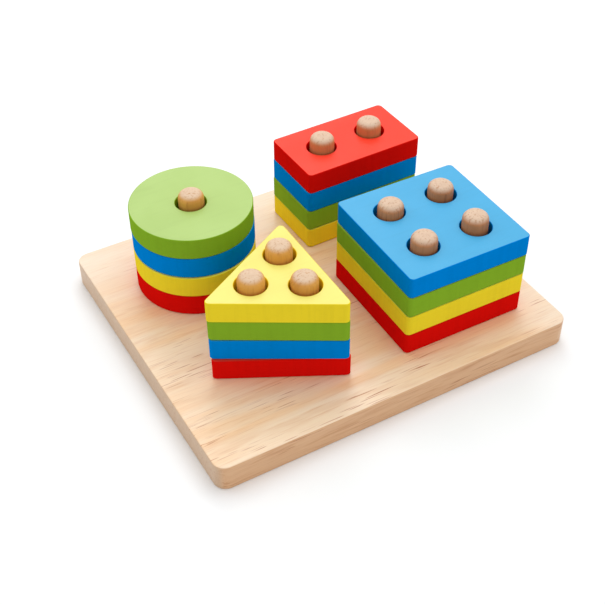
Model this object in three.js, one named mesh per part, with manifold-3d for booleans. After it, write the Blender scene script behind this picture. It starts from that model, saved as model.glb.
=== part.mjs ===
// Wooden shape puzzle: a hardwood board with ten glued pegs that carry four stacks of painted blocks.
// Each stack has its own shape, a disc, a rectangle, a triangle or a square, with one to four holes.
// Millimetres, +Z up. The origin is the middle of the board's underside, X runs along the board's longer
// side and Y from the front row (triangle and square) to the back row (disc and rectangle).
import * as THREE from 'three';
import { mergeVertices } from 'three/addons/utils/BufferGeometryUtils.js';
import Module from 'manifold-3d';

const wasm = await Module();
wasm.setup();

// Pegs: stock dowel, glued in blind holes, with a rounded tip
const PEG_DIAMETER = 11.2;
const PEG_SEAT_DEPTH = 9;
const PEG_FOOT_CHAMFER = 0.8;
const PEG_PROUD = 6.2;
const PEG_TIP_RISE = 3.2;
const PEG_TIP_FLAT_DIAMETER = 4.6;
const PEG_TIP_CROWN = 0.5;
const GLUE_GAP = 0.15;
const GLUE_POCKET = 0.4;

// Blocks: planed board with drilled holes, every edge eased before painting
const BLOCK_THICKNESS = 10;
const BLOCK_EDGE_EASE = 0.4;
const BLOCK_CORNER_RADIUS = 2;
const HOLE_PLAY = 1.2;
const SEAT_GAP = 0.6;
const STACK_GAP = 0.1;

// Hole patterns, and the wood left between a hole and the edge of its block
const DISC_RIM = 19.9;
const RECTANGLE_HOLE_PITCH = 25.9;
const RECTANGLE_HOLE_SETBACK = 0.5;
const RECTANGLE_END_RIM = 9.8;
const RECTANGLE_SIDE_RIM = 9.95;
const TRIANGLE_HOLE_PITCH = 21.5;
const TRIANGLE_HOLE_DRIFT = 0.8;
const TRIANGLE_RIM = 4;
const SQUARE_HOLE_PITCH = 26;
const SQUARE_RIM = 9.55;

// Board, and the room that it leaves around the stacks
const BOARD_THICKNESS = 12.4;
const BOARD_CORNER_RADIUS = 5.5;
const BOARD_EDGE_ROUND = 0.6;
const LEFT_MARGIN = 16.9;
const COLUMN_GAP = 25.8;
const RIGHT_MARGIN = 13.2;
const FRONT_MARGIN = 17.1;
const TRIANGLE_SETBACK = 0.8;
const DISC_TO_TRIANGLE_GAP = 5;
const RECTANGLE_TO_SQUARE_GAP = 22.8;
const DISC_BACK_MARGIN = 12.2;
const RECTANGLE_BACK_MARGIN = 14.4;

// Facets
const HOLE_SIDES = 20;
const DISC_SIDES = 48;
const BLOCK_CORNER_STEPS = 3;
const BLOCK_EDGE_STEPS = 1;
const BOARD_CORNER_STEPS = 6;
const BOARD_EDGE_STEPS = 2;
const PEG_TIP_STEPS = 3;

// Finishes
const BOARD_WOOD = new THREE.MeshStandardMaterial({ color: 0xe6cda8, roughness: 0.6, metalness: 0 });
const PEG_WOOD = new THREE.MeshStandardMaterial({ color: 0xdfb78b, roughness: 0.6, metalness: 0 });
const PAINTS = {
  red: new THREE.MeshStandardMaterial({ color: 0xd81e14, roughness: 0.45, metalness: 0 }),
  yellow: new THREE.MeshStandardMaterial({ color: 0xf2de3c, roughness: 0.45, metalness: 0 }),
  green: new THREE.MeshStandardMaterial({ color: 0x8fc03f, roughness: 0.45, metalness: 0 }),
  blue: new THREE.MeshStandardMaterial({ color: 0x1f8ad8, roughness: 0.45, metalness: 0 }),
};

// Block sizes that follow from the holes
const PEG_RADIUS = PEG_DIAMETER / 2;
const HOLE_RADIUS = PEG_RADIUS + HOLE_PLAY;
const DISC_RADIUS = HOLE_RADIUS + DISC_RIM;
const RECTANGLE_LENGTH = RECTANGLE_HOLE_PITCH + 2 * (HOLE_RADIUS + RECTANGLE_END_RIM);
const RECTANGLE_WIDTH = 2 * (HOLE_RADIUS + RECTANGLE_SIDE_RIM);
const TRIANGLE_HOLE_CIRCLE = TRIANGLE_HOLE_PITCH / Math.sqrt(3);
const TRIANGLE_HOLE_SHIFT = triangleCorners(TRIANGLE_HOLE_DRIFT)[1];
const TRIANGLE_INRADIUS = TRIANGLE_HOLE_CIRCLE / 2 + HOLE_RADIUS + TRIANGLE_RIM;
const TRIANGLE_SIDE = TRIANGLE_INRADIUS * 2 * Math.sqrt(3);
const SQUARE_SIDE = SQUARE_HOLE_PITCH + 2 * (HOLE_RADIUS + SQUARE_RIM);

// Places on the board, from its front left corner
const LEFT_COLUMN_WIDTH = Math.max(2 * DISC_RADIUS, 3 * TRIANGLE_INRADIUS + TRIANGLE_SETBACK);
const RIGHT_COLUMN_WIDTH = Math.max(RECTANGLE_LENGTH, SQUARE_SIDE);
const LEFT_COLUMN_EDGE = LEFT_MARGIN + LEFT_COLUMN_WIDTH;
const RIGHT_COLUMN_MIDDLE = LEFT_COLUMN_EDGE + COLUMN_GAP + RIGHT_COLUMN_WIDTH / 2;
const BOARD_LENGTH = RIGHT_COLUMN_MIDDLE + RIGHT_COLUMN_WIDTH / 2 + RIGHT_MARGIN;
const FRONT_ROW_MIDDLE = FRONT_MARGIN + Math.max(TRIANGLE_SIDE, SQUARE_SIDE) / 2;
const DISC_MIDDLE = FRONT_ROW_MIDDLE + TRIANGLE_SIDE / 2 + DISC_TO_TRIANGLE_GAP + DISC_RADIUS;
const RECTANGLE_MIDDLE = FRONT_ROW_MIDDLE + SQUARE_SIDE / 2 + RECTANGLE_TO_SQUARE_GAP + RECTANGLE_WIDTH / 2;
const BOARD_WIDTH = Math.max(
  DISC_MIDDLE + DISC_RADIUS + DISC_BACK_MARGIN,
  RECTANGLE_MIDDLE + RECTANGLE_WIDTH / 2 + RECTANGLE_BACK_MARGIN,
);

// A block at rest is shifted and turned within the play of its holes. The shares x, y and turn say how much
// of the free play it has taken up. The shift and the turn together stay within 1, so every hole clears its peg.
const FREE_PLAY = HOLE_PLAY - SEAT_GAP;

// The four stacks: where they stand, where their pegs are, and their blocks from the board up
const STACKS = [
  {
    name: 'disc',
    place: [LEFT_COLUMN_EDGE - DISC_RADIUS, DISC_MIDDLE],
    outline: circlePoints(DISC_RADIUS, DISC_SIDES),
    pegs: [new THREE.Vector2(0, 0)],
    blocks: [
      { paint: 'red', x: -0.45, y: -0.85, turn: 0 },
      { paint: 'yellow', x: -0.5, y: -0.85, turn: 0 },
      { paint: 'blue', x: -0.05, y: 0.2, turn: 0 },
      { paint: 'green', x: -0.4, y: 0.2, turn: 0 },
    ],
  },
  {
    name: 'rectangle',
    place: [RIGHT_COLUMN_MIDDLE, RECTANGLE_MIDDLE],
    outline: blockOutline(rectangleCorners(RECTANGLE_LENGTH, RECTANGLE_WIDTH)),
    pegs: [-1, 1].map((side) => new THREE.Vector2((side * RECTANGLE_HOLE_PITCH) / 2, RECTANGLE_HOLE_SETBACK)),
    blocks: [
      { paint: 'yellow', x: -0.4, y: -0.2, turn: 0.35 },
      { paint: 'green', x: -0.4, y: 0.1, turn: 0.35 },
      { paint: 'blue', x: -0.05, y: 0, turn: 0.35 },
      { paint: 'red', x: 0.25, y: 0, turn: 0.4 },
    ],
  },
  {
    name: 'triangle',
    place: [LEFT_COLUMN_EDGE - TRIANGLE_SETBACK - TRIANGLE_INRADIUS, FRONT_ROW_MIDDLE],
    outline: blockOutline(triangleCorners(2 * TRIANGLE_INRADIUS)),
    pegs: triangleCorners(TRIANGLE_HOLE_CIRCLE).map((corner) => corner.add(TRIANGLE_HOLE_SHIFT)),
    blocks: [
      { paint: 'red', x: 0, y: 0.1, turn: 0.9 },
      { paint: 'blue', x: 0.2, y: 0.5, turn: 0 },
      { paint: 'green', x: 0.35, y: 0.7, turn: -0.2 },
      { paint: 'yellow', x: -0.4, y: 0.05, turn: -0.2 },
    ],
  },
  {
    name: 'square',
    place: [RIGHT_COLUMN_MIDDLE, FRONT_ROW_MIDDLE],
    outline: blockOutline(rectangleCorners(SQUARE_SIDE, SQUARE_SIDE)),
    pegs: rectangleCorners(SQUARE_HOLE_PITCH, SQUARE_HOLE_PITCH),
    blocks: [
      { paint: 'red', x: -0.35, y: -0.4, turn: -0.4 },
      { paint: 'yellow', x: -0.25, y: -0.4, turn: -0.4 },
      { paint: 'green', x: -0.15, y: -0.4, turn: -0.35 },
      { paint: 'blue', x: 0.25, y: -0.4, turn: -0.5 },
    ],
  },
];

/** Points round a circle, counterclockwise. */
function circlePoints(radius, sides) {
  const angles = Array.from({ length: sides }, (_, i) => (2 * Math.PI * i) / sides);
  return angles.map((angle) => new THREE.Vector2(radius * Math.cos(angle), radius * Math.sin(angle)));
}

/** Corners of a rectangle about the origin, counterclockwise. */
function rectangleCorners(length, width) {
  const quarters = [[-1, -1], [1, -1], [1, 1], [-1, 1]];
  return quarters.map(([x, y]) => new THREE.Vector2((x * length) / 2, (y * width) / 2));
}

/** Corners of an equilateral triangle about the origin, counterclockwise, with one corner towards -X. */
function triangleCorners(circumradius) {
  return [-1, 1, 3].map((third) => {
    const angle = (third * Math.PI) / 3;
    return new THREE.Vector2(circumradius * Math.cos(angle), circumradius * Math.sin(angle));
  });
}

/** A convex outline with each corner rounded by an arc of the given radius. */
function roundedOutline(corners, radius, steps) {
  const points = [];
  corners.forEach((corner, i) => {
    const before = corners[(i + corners.length - 1) % corners.length].clone().sub(corner).normalize();
    const after = corners[(i + 1) % corners.length].clone().sub(corner).normalize();
    const halfAngle = Math.acos(before.dot(after)) / 2;
    const inwards = before.clone().add(after).normalize();
    const centre = corner.clone().addScaledVector(inwards, radius / Math.sin(halfAngle));
    const sweep = Math.PI - 2 * halfAngle;
    const middle = inwards.clone().negate().angle();
    for (let step = 0; step <= steps; step += 1) {
      const angle = middle + sweep * (step / steps - 0.5);
      const spoke = new THREE.Vector2(Math.cos(angle), Math.sin(angle));
      points.push(centre.clone().addScaledVector(spoke, radius));
    }
  });
  return points;
}

/** The outline of a block with straight sides. */
function blockOutline(corners) {
  return roundedOutline(corners, BLOCK_CORNER_RADIUS, BLOCK_CORNER_STEPS);
}

/** A plate of the given outline and holes, standing on z = 0, with its edges eased all round. */
function easedPlate(outline, holes, thickness, ease, easeSteps) {
  const shape = new THREE.Shape(outline);
  shape.holes = holes.map((hole) => new THREE.Path(hole));
  const plate = new THREE.ExtrudeGeometry(shape, {
    depth: thickness - 2 * ease,
    steps: 1,
    bevelEnabled: true,
    bevelThickness: ease,
    bevelSize: ease,
    bevelOffset: -ease,
    bevelSegments: easeSteps,
  });
  return plate.translate(0, 0, ease);
}

/** A closed geometry as a solid that can be cut. */
function toSolid(geometry) {
  const bare = geometry.clone();
  bare.deleteAttribute('normal');
  bare.deleteAttribute('uv');
  const merged = mergeVertices(bare);
  return new wasm.Manifold(new wasm.Mesh({
    numProp: 3,
    vertProperties: new Float32Array(merged.attributes.position.array),
    triVerts: new Uint32Array(merged.index.array),
  }));
}

/** A cut solid as a geometry again. */
function toGeometry(solid) {
  const { vertProperties, triVerts } = solid.getMesh();
  const geometry = new THREE.BufferGeometry();
  geometry.setAttribute('position', new THREE.BufferAttribute(vertProperties, 3));
  geometry.setIndex(new THREE.BufferAttribute(triVerts, 1));
  geometry.computeVertexNormals();
  return geometry;
}

/** A stack's place in the part's frame, on the board's top. */
function stackPlace(stack) {
  const [x, y] = stack.place;
  return new THREE.Vector3(x - BOARD_LENGTH / 2, y - BOARD_WIDTH / 2, BOARD_THICKNESS);
}

/** The board, with a blind hole for every peg. */
function makeBoard() {
  const corners = rectangleCorners(BOARD_LENGTH, BOARD_WIDTH);
  const outline = roundedOutline(corners, BOARD_CORNER_RADIUS, BOARD_CORNER_STEPS);
  const depth = PEG_SEAT_DEPTH + GLUE_POCKET;
  const drillRadius = PEG_RADIUS + GLUE_GAP;
  let solid = toSolid(easedPlate(outline, [], BOARD_THICKNESS, BOARD_EDGE_ROUND, BOARD_EDGE_STEPS));
  for (const stack of STACKS) {
    for (const peg of stack.pegs) {
      const drill = new THREE.CylinderGeometry(drillRadius, drillRadius, 2 * depth, HOLE_SIDES);
      drill.rotateX(Math.PI / 2);
      const place = stackPlace(stack);
      drill.translate(place.x + peg.x, place.y + peg.y, place.z);
      solid = solid.subtract(toSolid(drill));
    }
  }
  const board = new THREE.Mesh(toGeometry(solid), BOARD_WOOD);
  board.name = 'base_board';
  return board;
}

/** A peg that stands on z = 0: chamfered foot, straight shank and rounded tip. */
function pegGeometry(length) {
  const flatRadius = PEG_TIP_FLAT_DIAMETER / 2;
  const crownHeight = length - PEG_TIP_CROWN;
  const shankHeight = crownHeight - PEG_TIP_RISE;
  const profile = [
    new THREE.Vector2(0, 0),
    new THREE.Vector2(PEG_RADIUS - PEG_FOOT_CHAMFER, 0),
    new THREE.Vector2(PEG_RADIUS, PEG_FOOT_CHAMFER),
  ];
  for (let step = 0; step <= PEG_TIP_STEPS; step += 1) {
    const angle = (Math.PI / 2) * (step / PEG_TIP_STEPS);
    const radius = flatRadius + (PEG_RADIUS - flatRadius) * Math.cos(angle);
    profile.push(new THREE.Vector2(radius, shankHeight + PEG_TIP_RISE * Math.sin(angle)));
  }
  profile.push(new THREE.Vector2(0, length));
  return new THREE.LatheGeometry(profile, HOLE_SIDES).rotateX(Math.PI / 2);
}

/** The pegs of a stack, glued into the board below it. */
function makePegs(stack) {
  const stackHeight = stack.blocks.length * (BLOCK_THICKNESS + STACK_GAP);
  const length = PEG_SEAT_DEPTH + stackHeight + PEG_PROUD;
  return stack.pegs.map((place, i) => {
    const peg = new THREE.Mesh(pegGeometry(length), PEG_WOOD);
    peg.name = `${stack.name}_peg_${i + 1}`;
    peg.position.set(place.x, place.y, -PEG_SEAT_DEPTH);
    return peg;
  });
}

/** The blocks of a stack, each on the one below. */
function makeBlocks(stack) {
  const holeReach = Math.max(...stack.pegs.map((peg) => peg.length()));
  const drilled = circlePoints(HOLE_RADIUS, HOLE_SIDES);
  const holes = stack.pegs.map((peg) => drilled.map((point) => point.clone().add(peg)));
  return stack.blocks.map(({ paint, x, y, turn }, i) => {
    const plate = easedPlate(stack.outline, holes, BLOCK_THICKNESS, BLOCK_EDGE_EASE, BLOCK_EDGE_STEPS);
    const block = new THREE.Mesh(plate, PAINTS[paint]);
    block.name = `${stack.name}_block_${i + 1}_${paint}`;
    const height = STACK_GAP + i * (BLOCK_THICKNESS + STACK_GAP);
    block.position.set(x * FREE_PLAY, y * FREE_PLAY, height);
    block.rotation.z = holeReach > 0 ? (turn * FREE_PLAY) / holeReach : 0;
    return block;
  });
}

const puzzle = new THREE.Group();
puzzle.add(makeBoard());
for (const stack of STACKS) {
  const group = new THREE.Group();
  group.position.copy(stackPlace(stack));
  group.add(...makePegs(stack), ...makeBlocks(stack));
  puzzle.add(group);
}

export default puzzle;
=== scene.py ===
"""Finished look of a wooden shape puzzle: its board, pegs and painted blocks, with studio and camera.

Lengths are in metres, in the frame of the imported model. X runs along the board's longer side, Y from
the front row of stacks to the back row, and Z up along the pegs.
"""
from __future__ import annotations

import logging
import math
from dataclasses import dataclass, field, replace
from enum import Enum
from typing import Any, Callable

import bpy
from mathutils import Color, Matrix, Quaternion, Vector

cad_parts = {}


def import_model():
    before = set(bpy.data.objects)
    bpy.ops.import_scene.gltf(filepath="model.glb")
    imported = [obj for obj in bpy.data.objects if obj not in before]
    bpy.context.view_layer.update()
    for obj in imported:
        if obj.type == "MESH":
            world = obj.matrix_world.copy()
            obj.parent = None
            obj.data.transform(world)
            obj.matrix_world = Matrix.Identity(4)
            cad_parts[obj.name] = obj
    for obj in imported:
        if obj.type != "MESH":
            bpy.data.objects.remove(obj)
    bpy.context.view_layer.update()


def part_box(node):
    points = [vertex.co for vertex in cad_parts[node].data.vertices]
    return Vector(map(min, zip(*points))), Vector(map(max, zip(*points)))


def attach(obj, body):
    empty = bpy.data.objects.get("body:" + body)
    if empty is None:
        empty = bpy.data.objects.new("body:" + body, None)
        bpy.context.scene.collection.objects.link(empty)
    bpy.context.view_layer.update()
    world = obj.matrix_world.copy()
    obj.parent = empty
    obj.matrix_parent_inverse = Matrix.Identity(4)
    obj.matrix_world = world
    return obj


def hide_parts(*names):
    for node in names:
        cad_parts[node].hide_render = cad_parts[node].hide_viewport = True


LOG = logging.getLogger("shape_puzzle")
MM = 0.001

Socket = bpy.types.NodeSocket
Colour = tuple[float, float, float, float]
Waves = tuple[float, float, float]
Span = tuple[float, float]
Ring = tuple[float, float]
Lean = tuple[float, float]
EdgeTest = Callable[[Vector, Vector], bool]

WHITE: Colour = (1.0, 1.0, 1.0, 1.0)
BLACK: Colour = (0.0, 0.0, 0.0, 1.0)

# Numbers of the axes: along the board, from its front to its back, and up
ALONG, DEEP, UP = range(3)

BOARD_BODY = "board"
TURNED_SIDES = 64
ROUND_PROFILE = 0.5
FLAT_FACE_WEIGHT = 100


class Paint(Enum):
    """The four paints of the blocks."""

    RED = "red"
    YELLOW = "yellow"
    GREEN = "green"
    BLUE = "blue"


class Grain(Enum):
    """The axis that the fibres of a wooden piece run along."""

    ALONG_X = ALONG
    ALONG_Z = UP


# Helpers for modelling by hand


def only(piece: bpy.types.Object) -> None:
    """Make a piece the one selected and active object.

    Args:
        piece: The piece to select.
    """
    bpy.ops.object.select_all(action="DESELECT")
    piece.select_set(True)
    bpy.context.view_layer.objects.active = piece


def named(name: str) -> bpy.types.Object:
    """Name the object that was just added, settle it at the origin and return it.

    Args:
        name: The name of the object and of its mesh.

    Returns:
        The active object, with its place, turn and scale in its mesh.
    """
    piece = bpy.context.active_object
    piece.name = name
    piece.data.name = name
    only(piece)
    bpy.ops.object.transform_apply(location=True, rotation=True, scale=True)
    return piece


def bevel_edges(piece: bpy.types.Object, test: EdgeTest, radius: float, steps: int) -> None:
    """Round the edges of a piece that pass a test.

    Args:
        piece: The piece to work on.
        test: Tells from an edge's two ends whether it is rounded.
        radius: How far the rounding reaches on each side of the edge.
        steps: The number of facets across the rounding.
    """
    only(piece)
    bpy.ops.object.mode_set(mode="EDIT")
    bpy.ops.mesh.select_mode(type="EDGE")
    bpy.ops.mesh.select_all(action="DESELECT")
    bpy.ops.object.mode_set(mode="OBJECT")
    points = piece.data.vertices
    for edge in piece.data.edges:
        start, end = (points[index].co for index in edge.vertices)
        edge.select = test(start, end)
    bpy.ops.object.mode_set(mode="EDIT")
    bpy.ops.mesh.bevel(
        offset=radius, segments=steps, profile=ROUND_PROFILE, affect="EDGES", clamp_overlap=False,
    )
    bpy.ops.object.mode_set(mode="OBJECT")


def apply_modifier(piece: bpy.types.Object, kind: str, **settings: Any) -> None:
    """Add a modifier to a piece and apply it.

    Args:
        piece: The piece to work on.
        kind: The modifier's type.
        **settings: The modifier's settings.
    """
    only(piece)
    modifier = piece.modifiers.new(kind, kind)
    for name, value in settings.items():
        setattr(modifier, name, value)
    bpy.ops.object.modifier_apply(modifier=modifier.name)


def turned(name: str, rings: list[Ring], pointed: bool = False) -> bpy.types.Object:
    """Turn a solid from its outline, ring by ring about the Z axis.

    Args:
        name: The name of the solid.
        rings: Radius and height of each ring, from the bottom up.
        pointed: Whether the last ring is drawn together to a point.

    Returns:
        The solid.
    """
    first, base = rings[0]
    bpy.ops.mesh.primitive_circle_add(
        vertices=TURNED_SIDES, radius=first, fill_type="NGON", location=(0.0, 0.0, base),
    )
    solid = named(name)
    bpy.ops.object.mode_set(mode="EDIT")
    bpy.ops.mesh.select_all(action="SELECT")
    for (radius, height), (next_radius, next_height) in zip(rings, rings[1:]):
        rise = (0.0, 0.0, next_height - height)
        bpy.ops.mesh.extrude_region_move(TRANSFORM_OT_translate={"value": rise})
        share = next_radius / radius
        bpy.ops.transform.resize(value=(share, share, 1.0), center_override=(0.0, 0.0, next_height))
    if pointed:
        bpy.ops.mesh.merge(type="CENTER")
    bpy.ops.mesh.select_all(action="SELECT")
    bpy.ops.mesh.normals_make_consistent(inside=False)
    bpy.ops.object.mode_set(mode="OBJECT")
    return solid


def drill(piece: bpy.types.Object, places: list[Vector], bit: list[Ring]) -> None:
    """Cut round holes into a piece.

    Args:
        piece: The piece to drill.
        places: Where the bit is set for each hole.
        bit: Radius and height of each ring of the bit.
    """
    for place in places:
        cutter = turned("drill_bit", bit)
        cutter.location = place
        apply_modifier(piece, "BOOLEAN", operation="DIFFERENCE", solver="EXACT", object=cutter)
        bpy.data.objects.remove(cutter)


def smooth(piece: bpy.types.Object) -> None:
    """Shade a piece smoothly, with its large faces kept flat.

    Args:
        piece: The piece to shade.
    """
    only(piece)
    bpy.ops.object.shade_smooth()
    apply_modifier(piece, "WEIGHTED_NORMAL", mode="FACE_AREA", weight=FLAT_FACE_WEIGHT, keep_sharp=False)


def middle(piece: bpy.types.Object) -> Vector:
    """Find the middle of the box round a piece's mesh.

    Args:
        piece: A piece that sits at the origin.

    Returns:
        The middle of its box.
    """
    points = [point.co for point in piece.data.vertices]
    low = Vector(min(point[axis] for point in points) for axis in range(3))
    high = Vector(max(point[axis] for point in points) for axis in range(3))
    return (low + high) / 2


def node_middle(node: str) -> Vector:
    """Find the middle of the box round a node of the frame."""
    low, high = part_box(node)
    return (Vector(low) + Vector(high)) / 2


def copy_to_node(model: bpy.types.Object, node: str, turn: float) -> bpy.types.Object:
    """Copy a model to the place of a node of the frame.

    Args:
        model: The piece to copy.
        node: The node that the copy stands for.
        turn: The turn about the upright axis, in radians.

    Returns:
        The copy, with a mesh of its own.
    """
    only(model)
    bpy.ops.object.duplicate(linked=False)
    bpy.context.active_object.rotation_euler.z = turn
    piece = named(f"{node}_finished")
    piece.location = node_middle(node) - middle(piece)
    return named(piece.name)


def hand_in(piece: bpy.types.Object, material: bpy.types.Material, body: str, node: str) -> None:
    """Dress a piece and tie it to the frame.

    Args:
        piece: The finished piece.
        material: Its finish.
        body: The body that it rides on.
        node: The node that it replaces.
    """
    piece.data.materials.clear()
    piece.data.materials.append(material)
    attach(piece, body)
    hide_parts(node)
    LOG.info("%s rides on %s, %d faces", piece.name, body, len(piece.data.polygons))


# Finishes


def colour(code: str) -> Colour:
    """Turn a screen colour into a linear one.

    Args:
        code: Six hexadecimal digits.

    Returns:
        Red, green, blue and alpha.
    """
    screen = Color([level / 255 for level in bytes.fromhex(code)])
    return (*screen.from_srgb_to_scene_linear(), 1.0)


class Sketch:
    """A node material in the making, with a method for each kind of node that the finishes use."""

    def __init__(self, name: str) -> None:
        """Start a material with its shader.

        Args:
            name: The name of the material.
        """
        self.material = bpy.data.materials.new(name)
        self.material.use_nodes = True
        self.tree = self.material.node_tree
        self.shader = self.tree.nodes["Principled BSDF"]
        self.place = self.tree.nodes.new("ShaderNodeTexCoord")

    def feed(self, socket: Socket, value: Any) -> None:
        """Set a socket to a value, or link it where the value is another node's output.

        Args:
            socket: The input to feed.
            value: A number, a colour or another node's output.
        """
        if isinstance(value, Socket):
            self.tree.links.new(value, socket)
        else:
            socket.default_value = value

    def shade(self, name: str, value: Any) -> None:
        """Feed one of the shader's inputs."""
        self.feed(self.shader.inputs[name], value)

    def stretched(self, scale: Waves) -> Socket:
        """Scale the piece's own coordinates.

        Args:
            scale: Waves per metre along X, Y and Z.

        Returns:
            The scaled coordinates.
        """
        node = self.tree.nodes.new("ShaderNodeMapping")
        node.inputs["Scale"].default_value = scale
        self.feed(node.inputs["Vector"], self.place.outputs["Object"])
        return node.outputs["Vector"]

    def noise(self, scale: Waves, detail: float = 2.0, rough: float = 0.5, bend: float = 0.0) -> Socket:
        """Add noise on the piece's own coordinates.

        Args:
            scale: Waves per metre along X, Y and Z.
            detail: The number of finer layers.
            rough: The share of the finer layers.
            bend: How far the pattern is distorted.

        Returns:
            A value about 0.5.
        """
        node = self.tree.nodes.new("ShaderNodeTexNoise")
        node.inputs["Scale"].default_value = 1.0
        node.inputs["Detail"].default_value = detail
        node.inputs["Roughness"].default_value = rough
        node.inputs["Distortion"].default_value = bend
        self.feed(node.inputs["Vector"], self.stretched(scale))
        return node.outputs["Fac"]

    def spread(self, value: Socket, span: Span, result: Span = (0.0, 1.0)) -> Socket:
        """Spread part of a value's range smoothly over another range.

        Args:
            value: The value to spread.
            span: Where the range of the value starts and ends.
            result: What comes out at the start and at the end.

        Returns:
            The spread value.
        """
        node = self.tree.nodes.new("ShaderNodeMapRange")
        node.interpolation_type = "SMOOTHSTEP"
        node.inputs["From Min"].default_value, node.inputs["From Max"].default_value = span
        node.inputs["To Min"].default_value, node.inputs["To Max"].default_value = result
        self.feed(node.inputs["Value"], value)
        return node.outputs["Result"]

    def math(self, operation: str, first: Any, second: Any = 0.0) -> Socket:
        """Add a math node.

        Args:
            operation: The node's operation.
            first: The first number or value.
            second: The second number or value.

        Returns:
            The result.
        """
        node = self.tree.nodes.new("ShaderNodeMath")
        node.operation = operation
        self.feed(node.inputs[0], first)
        self.feed(node.inputs[1], second)
        return node.outputs[0]

    def mix(self, share: Any, first: Any, second: Any) -> Socket:
        """Mix two colours.

        Args:
            share: The share of the second colour.
            first: The first colour.
            second: The second colour.

        Returns:
            The mixed colour.
        """
        node = self.tree.nodes.new("ShaderNodeMix")
        node.data_type = "RGBA"
        inputs = [socket for socket in node.inputs if socket.type == "RGBA"]
        self.feed(node.inputs["Factor"], share)
        self.feed(inputs[0], first)
        self.feed(inputs[1], second)
        return next(socket for socket in node.outputs if socket.type == "RGBA")

    def place_along(self, axis: int) -> Socket:
        """Give the piece's own coordinate along an axis.

        Args:
            axis: The number of the axis.

        Returns:
            The coordinate, in metres.
        """
        node = self.tree.nodes.new("ShaderNodeSeparateXYZ")
        self.feed(node.inputs["Vector"], self.place.outputs["Object"])
        return node.outputs[axis]

    def facing(self, axis: int) -> Socket:
        """Tell how squarely a surface faces along an axis.

        Args:
            axis: The number of the axis.

        Returns:
            The size of the normal's share along the axis.
        """
        node = self.tree.nodes.new("ShaderNodeSeparateXYZ")
        self.feed(node.inputs["Vector"], self.place.outputs["Normal"])
        return self.math("ABSOLUTE", node.outputs[axis])

    def relief(self, height: Socket, strength: float, depth: float) -> None:
        """Raise the surface by a height.

        Args:
            height: The height, from 0 to 1.
            strength: How strongly the relief shows.
            depth: The height of 1, in metres.
        """
        node = self.tree.nodes.new("ShaderNodeBump")
        node.inputs["Strength"].default_value = strength
        node.inputs["Distance"].default_value = depth
        self.feed(node.inputs["Height"], height)
        self.shade("Normal", node.outputs["Normal"])


@dataclass(frozen=True)
class SatinPaint:
    """Satin paint on planed wood: its own deep colour on the sides, and a paler painted sheen of light on
    the flat faces.

    Attributes:
        paint: Which of the four paints it is.
        top_sheen_colour: The screen colour of the flat faces, paler than the paint: a painted sheen of
            light.
        side: The screen colour of the sides.
        gloss: The specular level of the flat faces. The sides have none.
        flatness: The upward facings between which a side turns into a flat top with the painted sheen and
            the gloss.
        cloud: Waves per metre of the soft patches.
        fibre: Waves per metre of the fibres that show through the paint.
        peel: Waves per metre of the paint's own texture.
        saw: Waves per metre of the upright saw marks.
        cloud_span: The part of the patches' noise in which they darken the paint.
        fibre_span: The part of the fibres' noise in which they darken the paint.
        saw_span: The part of the saw marks' noise that shows.
        wear: How much patches and fibres each darken the paint at most.
        saw_marks: How much saw marks darken a side, from the least to the most.
        satin_span: The part of the patches' noise that changes the roughness.
        roughness: The least and the greatest roughness.
        fibre_share: The share of the fibres in the relief.
        peel_share: The share of the paint's own texture in the relief.
        relief_strength: How strongly the relief shows.
        relief_depth: The depth of the relief.
    """

    paint: Paint
    top_sheen_colour: str
    side: str
    gloss: float = 0.4
    flatness: Span = (0.9, 0.99)
    cloud: Waves = (55.0, 55.0, 55.0)
    fibre: Waves = (45.0, 620.0, 620.0)
    peel: Waves = (900.0, 900.0, 900.0)
    saw: Waves = (520.0, 520.0, 25.0)
    cloud_span: Span = (0.35, 0.68)
    fibre_span: Span = (0.5, 0.75)
    saw_span: Span = (0.35, 0.7)
    wear: float = 0.035
    saw_marks: Span = (-0.015, 0.025)
    satin_span: Span = (0.3, 0.7)
    roughness: Span = (0.36, 0.44)
    fibre_share: float = 0.7
    peel_share: float = 0.3
    relief_strength: float = 0.25
    relief_depth: float = 0.06 * MM

    @property
    def slot(self) -> str:
        """The record's slot for this paint."""
        return f"{self.paint.value}_paint"

    def material(self) -> bpy.types.Material:
        """Make the node material.

        Returns:
            The material.
        """
        sketch = Sketch(f"satin_{self.slot}")
        cloud = sketch.noise(self.cloud, detail=3.0)
        fibre = sketch.noise(self.fibre, detail=3.0, rough=0.6)
        peel = sketch.noise(self.peel, detail=1.0)
        saw = sketch.noise(self.saw, detail=2.0, rough=0.6)
        flat = sketch.spread(sketch.facing(UP), self.flatness)
        upright = sketch.math("SUBTRACT", 1.0, flat)

        # The flat faces take the paler top colour, a painted sheen of light over the paint's own colour.
        coat = sketch.mix(flat, colour(self.side), colour(self.top_sheen_colour))
        worn = sketch.spread(cloud, self.cloud_span, (0.0, self.wear))
        thin = sketch.math("ADD", worn, sketch.spread(fibre, self.fibre_span, (0.0, self.wear)))
        marks = sketch.math("MULTIPLY", sketch.spread(saw, self.saw_span, self.saw_marks), upright)
        sketch.shade("Base Color", sketch.mix(sketch.math("ADD", thin, marks), coat, BLACK))
        sketch.shade("Roughness", sketch.spread(cloud, self.satin_span, self.roughness))
        sketch.shade("Specular IOR Level", sketch.math("MULTIPLY", flat, self.gloss))
        fibre_height = sketch.math("MULTIPLY", fibre, self.fibre_share)
        peel_height = sketch.math("MULTIPLY", peel, self.peel_share)
        height = sketch.math("ADD", fibre_height, peel_height)
        sketch.relief(height, self.relief_strength, self.relief_depth)
        return sketch.material


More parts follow.
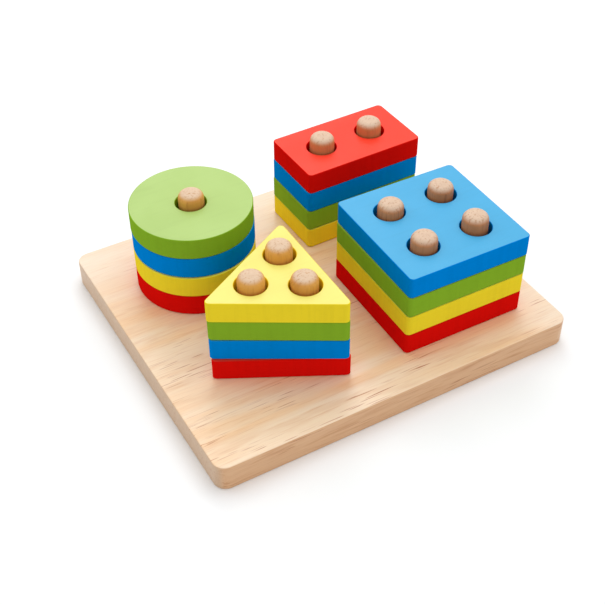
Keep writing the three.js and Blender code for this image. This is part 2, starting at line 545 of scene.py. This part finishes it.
@dataclass(frozen=True)
class Figure:
    """One layer of a wood's figure: a noise that is drawn out along the grain.

    Attributes:
        length: The length of a wave along the grain, in millimetres.
        width: The width of a wave across the grain, in millimetres.
        span: The part of the noise's range in which the layer comes in.
        detail: The number of finer layers of the noise.
        rough: The share of the finer layers.
        bend: How far the noise is distorted.
    """

    length: float
    width: float
    span: Span
    detail: float = 2.0
    rough: float = 0.5
    bend: float = 0.0


BANDS = Figure(170.0, 12.0, (0.34, 0.66), bend=0.4)
CLOUDS = Figure(26.0, 4.5, (0.5, 0.72))
STREAKS = Figure(24.0, 1.5, (0.52, 0.76), detail=3.0, rough=0.6)
FIBRES = Figure(14.0, 0.5, (0.5, 0.8))
PATCHES = Figure(40.0, 10.0, (0.44, 0.62), detail=1.0)
VESSELS = Figure(11.0, 0.42, (0.68, 0.8), detail=0.0)


@dataclass(frozen=True)
class ClearWood:
    """Pale hardwood under a thin clear coat.

    Attributes:
        name: The name of the wood.
        slot: The record's slot for it. It is not used.
        grain: The axis that its fibres run along.
        pale: The screen colour of the paler bands.
        warm: The screen colour of the deeper bands.
        tan: The screen colour that clouds, streaks and fibres tend to.
        pore: The screen colour of the pores.
        end: The screen colour of end grain.
        flank: The screen colour of the sides.
        whitened: The screen colour of the painted glare on the top.
        flank_facing: The upward facings between which a side turns into a top.
        flank_share: How far the sides take their own colour.
        flank_stain: How far the tan tends to the pores' colour on the sides.
        end_share: How far end grain takes its own colour.
        end_reach: The facings along the grain between which end grain comes in.
        painted_glare: How far the top takes the paler colour of a painted glare at its right and its back.
        right_fade: Where the painted glare comes in along X.
        back_fade: Where the painted glare comes in along Y.
        calm: How much fewer pores the back of the piece has.
        calm_fade: Where pores get fewer along Y.
        cloud_share: How strongly clouds show.
        streak_share: How strongly streaks show.
        flank_streaks: How much more strongly streaks show on the sides.
        fineness: How fine the figure is, where 1 is a board's.
        sparse: The share of pores outside the patches where they crowd.
        pores: How strongly pores show.
        fuzz: How strongly fibres show.
        roughness: The least roughness.
        streak_roughness: What streaks add to the roughness.
        satin_span: The part of the streaks' noise that changes the roughness.
        gloss: The specular level.
        relief_strength: How strongly the fibres' relief shows.
        relief_depth: The depth of the relief.
    """

    name: str
    slot: str
    grain: Grain
    pale: str
    warm: str
    tan: str
    pore: str
    end: str
    flank: str
    whitened: str = "EFE1CF"
    flank_facing: Span = (0.45, 0.85)
    flank_share: float = 1.0
    flank_stain: float = 0.45
    end_share: float = 0.75
    end_reach: Span = (0.45, 0.98)
    painted_glare: float = 0.0
    right_fade: Span = (58 * MM, 80 * MM)
    back_fade: Span = (25 * MM, 60 * MM)
    calm: float = 0.0
    calm_fade: Span = (-25 * MM, 10 * MM)
    cloud_share: float = 0.22
    streak_share: float = 0.34
    flank_streaks: float = 0.3
    fineness: float = 1.0
    sparse: float = 0.1
    pores: float = 0.75
    fuzz: float = 0.25
    roughness: float = 0.32
    streak_roughness: float = 0.12
    satin_span: Span = (0.3, 0.7)
    gloss: float = 0.5
    relief_strength: float = 0.2
    relief_depth: float = 0.03 * MM

    def layer(self, sketch: Sketch, figure: Figure) -> Socket:
        """Add the noise of a layer of the figure.

        Args:
            sketch: The material in the making.
            figure: The layer.

        Returns:
            A value about 0.5.
        """
        waves = [self.fineness / (figure.width * MM)] * 3
        waves[self.grain.value] = self.fineness / (figure.length * MM)
        return sketch.noise((waves[0], waves[1], waves[2]), figure.detail, figure.rough, figure.bend)

    def painted_glare_share(self, sketch: Sketch, beside: Socket) -> Socket:
        """Find how far the top takes a painted glare, which grows towards its right and its back.

        Args:
            sketch: The material in the making.
            beside: The share of a side.

        Returns:
            The share of the painted glare's colour.
        """
        right = sketch.spread(sketch.place_along(ALONG), self.right_fade, (0.0, self.painted_glare))
        back = sketch.spread(sketch.place_along(DEEP), self.back_fade, (0.0, self.painted_glare))
        top = sketch.math("SUBTRACT", 1.0, beside)
        return sketch.math("MULTIPLY", sketch.math("MAXIMUM", right, back), top)

    def dashes(self, sketch: Sketch) -> Socket:
        """Draw the pores as short dashes that crowd in patches.

        Args:
            sketch: The material in the making.

        Returns:
            The share of the pores' colour.
        """
        patches = sketch.spread(self.layer(sketch, PATCHES), PATCHES.span, (self.sparse, 1.0))
        open_grain = sketch.spread(sketch.place_along(DEEP), self.calm_fade, (1.0, 1.0 - self.calm))
        crowd = sketch.math("MULTIPLY", patches, open_grain)
        vessels = sketch.spread(self.layer(sketch, VESSELS), VESSELS.span)
        return sketch.math("MULTIPLY", sketch.math("MULTIPLY", vessels, crowd), self.pores)

    def material(self) -> bpy.types.Material:
        """Make the node material.

        Returns:
            The material.
        """
        sketch = Sketch(f"clear_{self.name}")
        streaks = self.layer(sketch, STREAKS)
        fibres = self.layer(sketch, FIBRES)
        bands = sketch.spread(self.layer(sketch, BANDS), BANDS.span)
        clouds = sketch.spread(self.layer(sketch, CLOUDS), CLOUDS.span, (0.0, self.cloud_share))
        beside = sketch.spread(sketch.facing(UP), self.flank_facing, (self.flank_share, 0.0))
        across = sketch.spread(sketch.facing(self.grain.value), self.end_reach, (0.0, self.end_share))

        colours = sketch.mix(bands, colour(self.pale), colour(self.warm))
        colours = sketch.mix(beside, colours, colour(self.flank))
        deeper = sketch.math("MULTIPLY", beside, self.flank_stain)
        stain = sketch.mix(deeper, colour(self.tan), colour(self.pore))
        colours = sketch.mix(clouds, colours, stain)
        grainy = sketch.math("ADD", self.streak_share, sketch.math("MULTIPLY", beside, self.flank_streaks))
        streaky = sketch.math("MULTIPLY", sketch.spread(streaks, STREAKS.span), grainy)
        colours = sketch.mix(streaky, colours, stain)
        # Painted glare: the top turns paler towards its right and its back.
        colours = sketch.mix(self.painted_glare_share(sketch, beside), colours, colour(self.whitened))
        colours = sketch.mix(across, colours, colour(self.end))
        colours = sketch.mix(sketch.spread(fibres, FIBRES.span, (0.0, self.fuzz)), colours, stain)
        colours = sketch.mix(self.dashes(sketch), colours, colour(self.pore))
        sketch.shade("Base Color", colours)

        roughest = self.roughness + self.streak_roughness
        sketch.shade("Roughness", sketch.spread(streaks, self.satin_span, (self.roughness, roughest)))
        sketch.shade("Specular IOR Level", self.gloss)
        sketch.relief(fibres, self.relief_strength, self.relief_depth)
        return sketch.material


BOARD_WOOD = ClearWood(
    "board_wood", "board_wood", Grain.ALONG_X, pale="F4D9BA", warm="F3CBA0", tan="D4955A", pore="A8521C",
    end="D2B698", flank="E8B98C", painted_glare=0.6, calm=0.7,
)
ROSY_DOWEL = ClearWood(
    "rosy_dowel", "peg_wood", Grain.ALONG_Z, pale="D68E5A", warm="CA8050", tan="AC6C3C", pore="845030",
    end="DEC6AE", flank="CA8050", flank_share=0.0, end_share=0.85, end_reach=(0.2, 0.85), fineness=0.55,
    pores=0.35, fuzz=0.6, roughness=0.5, gloss=0.3,
)
# A golden copy of the same wood for the pegs of the disc and the triangle: painted bounce light from the
# blocks round them.
GOLDEN_BOUNCE_DOWEL = replace(
    ROSY_DOWEL, name="golden_dowel", pale="E6A852", warm="DA984A", tan="B87838", end_reach=(0.45, 0.98),
)
# Each paint lists the paler colour of its flat faces first, a painted sheen of light, then its own colour
# on the sides.
PAINTS = {
    Paint.RED: SatinPaint(Paint.RED, "F5402A", "E4120C", 0.2),
    Paint.YELLOW: SatinPaint(Paint.YELLOW, "EEE572", "FAE230"),
    Paint.GREEN: SatinPaint(Paint.GREEN, "AAC86C", "89B62C"),
    Paint.BLUE: SatinPaint(Paint.BLUE, "47ACDD", "0088E2", 0.3),
}


# Board


@dataclass
class Board:
    """The solid hardwood board with a blind hole for every peg.

    Attributes:
        node: The node that it replaces.
        corner_radius: The radius of its upright edges.
        corner_steps: The number of facets round a corner.
        edge_round: The radius of its upper and lower edges.
        edge_steps: The number of facets across such an edge.
        hole_radius: The radius of a peg's hole.
        hole_depth: The depth of a peg's hole.
        drill_lift: How far the drill stands out above the board.
    """

    node: str = "base_board"
    corner_radius: float = 5.5 * MM
    corner_steps: int = 12
    edge_round: float = 0.6 * MM
    edge_steps: int = 4
    hole_radius: float = 5.75 * MM
    hole_depth: float = 9.4 * MM
    drill_lift: float = 2.0 * MM

    def build(self, pegs: list[str]) -> bpy.types.Object:
        """Model the board.

        Args:
            pegs: The nodes of the pegs that the board carries.

        Returns:
            The board.
        """
        low, high = (Vector(corner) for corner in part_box(self.node))
        size = high - low
        bpy.ops.mesh.primitive_cube_add(size=1.0, location=(low + high) / 2, scale=size)
        piece = named(f"{self.node}_finished")
        upright = size.z / 2
        bevel_edges(piece, lambda a, b: abs(a.z - b.z) > upright, self.corner_radius, self.corner_steps)
        bevel_edges(piece, lambda a, b: abs(a.z - b.z) < upright, self.edge_round, self.edge_steps)
        holes = [Vector((*node_middle(peg).xy, high.z)) for peg in pegs]
        drill(piece, holes, [(self.hole_radius, -self.hole_depth), (self.hole_radius, self.drill_lift)])
        smooth(piece)
        return piece


# Pegs


@dataclass
class Pegs:
    """The dowels of a stack, glued into the board, with a chamfered foot and a domed tip.

    They were cut and glued by hand, so each stands out and leans a little in its own way.

    Attributes:
        stack: The name of the stack.
        wood: The wood of the pegs.
        extras: How much longer each peg is than its node, in millimetres.
        leans: How far each tip leans along X and Y, in millimetres.
        seat: How deep a peg sits in the board.
        foot_chamfer: The chamfer round the foot.
        shoulder_rise: The height of the rounding between shank and crown.
        shoulder_steps: The number of rings on that rounding.
        crown_radius: The radius of the flatter crown on the tip.
        crown_rise: The height of the crown.
        crown_steps: The number of rings on the crown.
        tip_share: The radius of the last ring, as a share of the shank's.
    """

    stack: str
    wood: ClearWood
    extras: tuple[float, ...]
    leans: tuple[Lean, ...]
    seat: float = 9.0 * MM
    foot_chamfer: float = 0.8 * MM
    shoulder_rise: float = 3.2 * MM
    shoulder_steps: int = 8
    crown_radius: float = 2.3 * MM
    crown_rise: float = 0.5 * MM
    crown_steps: int = 5
    tip_share: float = 0.01

    def nodes(self) -> list[str]:
        """Name the nodes of the pegs."""
        return [f"{self.stack}_peg_{number}" for number in range(1, len(self.extras) + 1)]

    def profile(self, radius: float, length: float) -> list[Ring]:
        """Draw the outline of a peg from foot to tip.

        Args:
            radius: The radius of the shank.
            length: The length of the peg.

        Returns:
            Radius of each ring, and its height above the middle of the glued seat.
        """
        rings = [(radius - self.foot_chamfer, 0.0), (radius, self.foot_chamfer)]
        shank = length - self.crown_rise - self.shoulder_rise
        for step in range(self.shoulder_steps):
            angle = math.pi / 2 * step / self.shoulder_steps
            out = self.crown_radius + (radius - self.crown_radius) * math.cos(angle)
            rings.append((out, shank + self.shoulder_rise * math.sin(angle)))
        for step in range(self.crown_steps):
            share = 1 - step / self.crown_steps
            rings.append((self.crown_radius * share, length - self.crown_rise * share ** 2))
        rings.append((self.tip_share * radius, length))
        return [(ring, height - self.seat / 2) for ring, height in rings]

    def peg(self, node: str, extra: float, lean: Lean) -> bpy.types.Object:
        """Model one peg in its place.

        Args:
            node: The node that the peg stands for.
            extra: How much longer it is than the node, in millimetres.
            lean: How far its tip leans along X and Y, in millimetres.

        Returns:
            The peg.
        """
        low, high = (Vector(corner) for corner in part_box(node))
        length = high.z - low.z + extra * MM
        peg = turned(f"{node}_finished", self.profile((high.y - low.y) / 2, length), pointed=True)
        smooth(peg)
        reach = length - self.seat / 2
        peg.rotation_euler = (-lean[1] * MM / reach, lean[0] * MM / reach, 0.0)
        peg.location = (*node_middle(node).xy, low.z + self.seat / 2)
        return named(peg.name)

    def build(self, material: bpy.types.Material) -> None:
        """Set every peg of the stack, in the material of its wood."""
        for node, extra, lean in zip(self.nodes(), self.extras, self.leans):
            hand_in(self.peg(node, extra, lean), material, BOARD_BODY, node)


# Stacks of blocks


@dataclass
class Stack:
    """Four like blocks on their pegs, from the board up.

    The blocks lie a little turned within the play of their holes. A turn of 1 takes up all of it. Each is
    a hair thinner than its node, so that a dark seam shows between two blocks.

    Attributes:
        name: The name of the stack.
        paints: The paint of each block.
        turns: How far each block is turned, as a share of its play.
        thickness: The thickness of a block.
        corner_radius: The radius of its upright edges.
        corner_steps: The number of facets round a corner.
        edge_ease: How far its other edges and the rims of its holes are eased.
        edge_steps: The number of facets across an eased edge.
        hole_radius: The radius of a hole.
        turn_play: How far the outermost hole moves at a turn of 1.
    """

    name: str
    paints: tuple[Paint, ...]
    turns: tuple[float, ...]
    thickness: float = 9.8 * MM
    corner_radius: float = 2.0 * MM
    corner_steps: int = 8
    edge_ease: float = 0.4 * MM
    edge_steps: int = 4
    hole_radius: float = 6.8 * MM
    turn_play: float = 0.6 * MM

    def holes(self) -> list[Vector]:
        """Give the places of the holes about the block's middle."""
        raise NotImplementedError

    def blank(self) -> bpy.types.Object:
        """Model the block before it is drilled and eased."""
        raise NotImplementedError

    def model(self) -> bpy.types.Object:
        """Model one block, lying about the origin.

        Returns:
            The block, drilled and with its edges eased.
        """
        block = self.blank()
        flat = self.thickness / 2
        bevel_edges(block, lambda a, b: abs(a.z - b.z) < flat, self.edge_ease, self.edge_steps)
        drill(block, self.holes(), self.bit())
        smooth(block)
        return block

    def bit(self) -> list[Ring]:
        """Shape the drill, with flares that ease both rims of a hole.

        Returns:
            Radius and height of each ring of the bit.
        """
        wide = self.hole_radius + self.edge_ease
        flare: list[Ring] = []
        for step in range(self.edge_steps + 1):
            angle = math.pi / 2 * step / self.edge_steps
            rise = self.edge_ease * (1 - math.cos(angle))
            flare.append((wide - self.edge_ease * math.sin(angle), rise - self.thickness / 2))
        lower = [(wide, -self.thickness)] + flare
        return lower + [(radius, -height) for radius, height in reversed(lower)]

    def round_corners(self, block: bpy.types.Object, corner_angle: float) -> None:
        """Round the upright edges of a block.

        Args:
            block: The block.
            corner_angle: The angle between its sides, in degrees.
        """
        reach = self.corner_radius / math.tan(math.radians(corner_angle / 2))
        bevel_edges(block, lambda a, b: abs(a.z - b.z) > self.thickness / 2, reach, self.corner_steps)

    def build(self, finishes: dict[Paint, bpy.types.Material]) -> None:
        """Copy the block to each level of the stack and paint it.

        Args:
            finishes: The material of each paint.
        """
        model = self.model()
        reach = max(hole.length for hole in self.holes())
        for level, (paint, share) in enumerate(zip(self.paints, self.turns), start=1):
            node = f"{self.name}_block_{level}_{paint.value}"
            turn = share * self.turn_play / reach if reach > 0 else 0.0
            block = copy_to_node(model, node, turn)
            hand_in(block, finishes[paint], f"{self.name}_{paint.value}", node)
        bpy.data.objects.remove(model)


@dataclass
class DiscStack(Stack):
    """Round blocks on one peg.

    Attributes:
        radius: The radius of a block.
        sides: The number of facets round it.
    """

    radius: float = 26.7 * MM
    sides: int = 160

    def holes(self) -> list[Vector]:
        """Give the place of the one hole."""
        return [Vector((0.0, 0.0, 0.0))]

    def blank(self) -> bpy.types.Object:
        """Model the round block before it is drilled and eased."""
        bpy.ops.mesh.primitive_cylinder_add(vertices=self.sides, radius=self.radius, depth=self.thickness)
        return named("disc_block_model")


@dataclass
class BoxStack(Stack):
    """Rectangular or square blocks on rows of pegs.

    Attributes:
        length: The length of a block along X.
        width: The width of a block along Y.
        pitch: The distance between the two holes of a row.
        rows: The place of each row of holes along Y.
    """

    length: float = 59.1 * MM
    width: float = 33.5 * MM
    pitch: float = 25.9 * MM
    rows: tuple[float, ...] = (0.5 * MM,)

    def holes(self) -> list[Vector]:
        """Give the places of the holes, half a pitch to each side in every row."""
        return [Vector((side * self.pitch / 2, row, 0.0)) for row in self.rows for side in (-1, 1)]

    def blank(self) -> bpy.types.Object:
        """Model the block with square corners rounded, before it is drilled and eased.

        Returns:
            The block.
        """
        bpy.ops.mesh.primitive_cube_add(size=1.0, scale=(self.length, self.width, self.thickness))
        block = named(f"{self.name}_block_model")
        self.round_corners(block, 90.0)
        return block


@dataclass
class TriangleStack(Stack):
    """Three-sided blocks on three pegs, with one corner towards the board's left end.

    Attributes:
        hole_pitch: The distance between two holes.
        hole_drift: How far all holes are shifted towards the second corner.
        rim: The wood between a hole and the sides next to it, before the shift.
        corner_angles: The direction of each corner, in degrees.
    """

    hole_pitch: float = 21.5 * MM
    hole_drift: float = 0.8 * MM
    rim: float = 4.0 * MM
    corner_angles: tuple[float, ...] = (-60.0, 60.0, 180.0)

    @property
    def hole_circle(self) -> float:
        """The radius of the circle that the holes lie on."""
        return self.hole_pitch / math.sqrt(3)

    @property
    def inradius(self) -> float:
        """The distance of the sides from the middle."""
        return self.hole_circle / 2 + self.hole_radius + self.rim

    def holes(self) -> list[Vector]:
        """Give the places of the holes, one near each corner.

        Returns:
            The places, all shifted a little towards the second corner.
        """
        spokes = [math.radians(angle) for angle in self.corner_angles]
        corners = [Vector((math.cos(spoke), math.sin(spoke), 0.0)) for spoke in spokes]
        return [corner * self.hole_circle + corners[1] * self.hole_drift for corner in corners]

    def blank(self) -> bpy.types.Object:
        """Model the block with its corners rounded, before it is drilled and eased.

        Returns:
            The block.
        """
        bpy.ops.mesh.primitive_cylinder_add(
            vertices=3, radius=2 * self.inradius, depth=self.thickness, rotation=(0.0, 0.0, math.pi / 2),
        )
        block = named("triangle_block_model")
        self.round_corners(block, 60.0)
        return block


# Studio


@dataclass
class Softbox:
    """A square area lamp that points at the toy.

    Attributes:
        name: The name of the lamp.
        place: Where it hangs.
        side: The side of the square.
        power: Its power, in watts.
        aim: The point that it faces.
    """

    name: str
    place: tuple[float, float, float]
    side: float
    power: float
    aim: Vector = field(default_factory=lambda: Vector((0.0, 0.0, 0.03)))

    def build(self) -> None:
        """Hang the lamp."""
        lamp = bpy.data.lights.new(self.name, "AREA")
        lamp.shape = "SQUARE"
        lamp.size = self.side
        lamp.energy = self.power
        stand = bpy.data.objects.new(self.name, lamp)
        bpy.context.scene.collection.objects.link(stand)
        stand.location = self.place
        stand.rotation_euler = (self.aim - Vector(self.place)).to_track_quat("-Z", "Y").to_euler()


@dataclass
class Studio:
    """A white table and soft light from above, behind and all round.

    Attributes:
        table_side: The side of the square table.
        fade: The distances from the toy between which the table fades into the white of the room.
        table_bounce: How much light the table throws back at the toy.
        table_white: The colour that the table is seen in.
        table_roughness: The roughness of the table.
        dome: The strength of the light from all round.
        lamps: The lamps.
    """

    table_side: float = 1.6
    fade: Span = (0.4, 0.75)
    table_bounce: float = 0.8
    table_white: Colour = (0.955, 0.97, 0.98, 1.0)
    table_roughness: float = 0.9
    dome: float = 0.64
    lamps: tuple[Softbox, ...] = (
        Softbox("back_softbox", (0.25, 0.7, 0.76), 0.5, 1.6),
        Softbox("top_softbox", (0.3, 0.15, 1.3), 1.3, 9.0),
        Softbox("left_softbox", (-0.5, 0.6, 0.8), 0.5, 0.8),
    )

    def seen_share(self, tree: bpy.types.NodeTree) -> Socket:
        """Tell rays that see the background from rays that light the toy.

        Args:
            tree: The node tree to work in.

        Returns:
            1 for camera, glossy and transmission rays, or else 0.
        """
        path = tree.nodes.new("ShaderNodeLightPath")
        seen = path.outputs["Is Camera Ray"]
        for kind in ("Is Glossy Ray", "Is Transmission Ray"):
            node = tree.nodes.new("ShaderNodeMath")
            node.operation = "MAXIMUM"
            tree.links.new(seen, node.inputs[0])
            tree.links.new(path.outputs[kind], node.inputs[1])
            seen = node.outputs[0]
        return seen

    def table(self) -> bpy.types.Material:
        """Make the white of the table, which takes the toy's shadow and fades into the white of the room.

        Returns:
            The material.
        """
        sketch = Sketch("white_table")
        seen = self.seen_share(sketch.tree)
        places = [sketch.place_along(axis) for axis in (ALONG, DEEP)]
        squares = [sketch.math("MULTIPLY", place, place) for place in places]
        distance = sketch.math("SQRT", sketch.math("ADD", *squares))
        whitened = sketch.math("MULTIPLY", seen, sketch.spread(distance, self.fade))
        bounce = (self.table_bounce, self.table_bounce, self.table_bounce, 1.0)
        tone = sketch.mix(seen, bounce, self.table_white)
        sketch.shade("Base Color", sketch.mix(whitened, tone, BLACK))
        sketch.shade("Emission Color", WHITE)
        sketch.shade("Emission Strength", whitened)
        sketch.shade("Roughness", self.table_roughness)
        sketch.shade("Specular IOR Level", 0.0)
        sketch.material.cycles.emission_sampling = "NONE"
        return sketch.material

    def room(self) -> bpy.types.World:
        """Make the white room, which looks white but lights the toy more gently.

        Returns:
            The world.
        """
        world = bpy.data.worlds.new("white_room")
        world.use_nodes = True
        tree = world.node_tree
        background = tree.nodes["Background"]
        background.inputs["Color"].default_value = WHITE
        strength = tree.nodes.new("ShaderNodeMapRange")
        strength.inputs["To Min"].default_value = self.dome
        strength.inputs["To Max"].default_value = 1.0
        tree.links.new(self.seen_share(tree), strength.inputs["Value"])
        tree.links.new(strength.outputs["Result"], background.inputs["Strength"])
        return world

    def build(self) -> None:
        """Lay the table, light the room and hang the lamps."""
        bpy.ops.mesh.primitive_plane_add(size=self.table_side)
        table = named("table")
        table.data.materials.append(self.table())
        bpy.context.scene.world = self.room()
        for lamp in self.lamps:
            lamp.build()


@dataclass
class Viewpoint:
    """The camera, at the viewing angle of the photo.

    Attributes:
        place: Where it stands.
        look: The direction in which it looks.
        roll: Its turn about that direction, in degrees.
        lens: The focal length, in millimetres.
        sensor: The width of the sensor, in millimetres.
    """

    place: Vector = field(default_factory=lambda: Vector((-189.778, -324.647, 340.737)) * MM)
    look: Vector = field(default_factory=lambda: Vector((0.366903, 0.647598, -0.667832)))
    roll: float = -0.387
    lens: float = 66.829
    sensor: float = 36.0

    def build(self) -> None:
        """Set up the camera."""
        camera = bpy.data.cameras.new("camera")
        camera.lens = self.lens
        camera.sensor_width = self.sensor
        stand = bpy.data.objects.new("camera", camera)
        bpy.context.scene.collection.objects.link(stand)
        stand.location = self.place
        roll = Quaternion((0.0, 0.0, 1.0), math.radians(self.roll))
        stand.rotation_euler = (self.look.to_track_quat("-Z", "Y") @ roll).to_euler()
        bpy.context.scene.camera = stand


def stacks() -> list[Stack]:
    """List the four stacks, each with its paints and turns from the board up.

    Returns:
        The stacks of discs, rectangles, triangles and squares.
    """
    red, yellow, green, blue = Paint.RED, Paint.YELLOW, Paint.GREEN, Paint.BLUE
    side, row = 58.7 * MM, 13.0 * MM
    return [
        DiscStack("disc", (red, yellow, blue, green), (0.0, 0.0, 0.0, 0.0)),
        BoxStack("rectangle", (yellow, green, blue, red), (0.35, 0.35, 0.35, 0.4)),
        TriangleStack("triangle", (red, blue, green, yellow), (0.9, 0.0, -0.2, -0.2)),
        BoxStack("square", (red, yellow, green, blue), (-0.4, -0.4, -0.35, -0.5),
                 length=side, width=side, pitch=2 * row, rows=(-row, row)),
    ]


def dowels() -> list[Pegs]:
    """List the pegs of each stack, with what each adds to its node's length and how it leans.

    Returns:
        The pegs of the disc, the rectangle, the triangle and the square.
    """
    upright = (0.0, 0.0)
    return [
        Pegs("disc", GOLDEN_BOUNCE_DOWEL, (-0.5,), (upright,)),
        Pegs("rectangle", ROSY_DOWEL, (0.4, 0.4), ((0.48, -0.27), (-0.26, 0.15))),
        Pegs("triangle", GOLDEN_BOUNCE_DOWEL, (-0.6, 0.0, -0.6), ((-0.46, 0.26), (-0.13, 0.07), upright)),
        Pegs("square", ROSY_DOWEL, (0.1, 0.7, -0.1, -0.3),
             ((0.13, -0.07), (-0.23, 0.13), (0.32, -0.18), (0.74, -0.42))),
    ]


def main() -> None:
    """Build the toy in its frame, then the studio and the camera."""
    logging.basicConfig(level=logging.INFO, format="%(name)s: %(message)s")
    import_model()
    bpy.context.scene.view_settings.view_transform = "Standard"
    Viewpoint().build()
    Studio().build()

    finishes = {paint: finish.material() for paint, finish in PAINTS.items()}
    for stack in stacks():
        stack.build(finishes)
    woods = {wood: wood.material() for wood in (ROSY_DOWEL, GOLDEN_BOUNCE_DOWEL)}
    groups = dowels()
    for group in groups:
        group.build(woods[group.wood])
    pegs = [node for group in groups for node in group.nodes()]
    board = Board()
    hand_in(board.build(pegs), BOARD_WOOD.material(), BOARD_BODY, board.node)


if __name__ == "__main__":
    main()
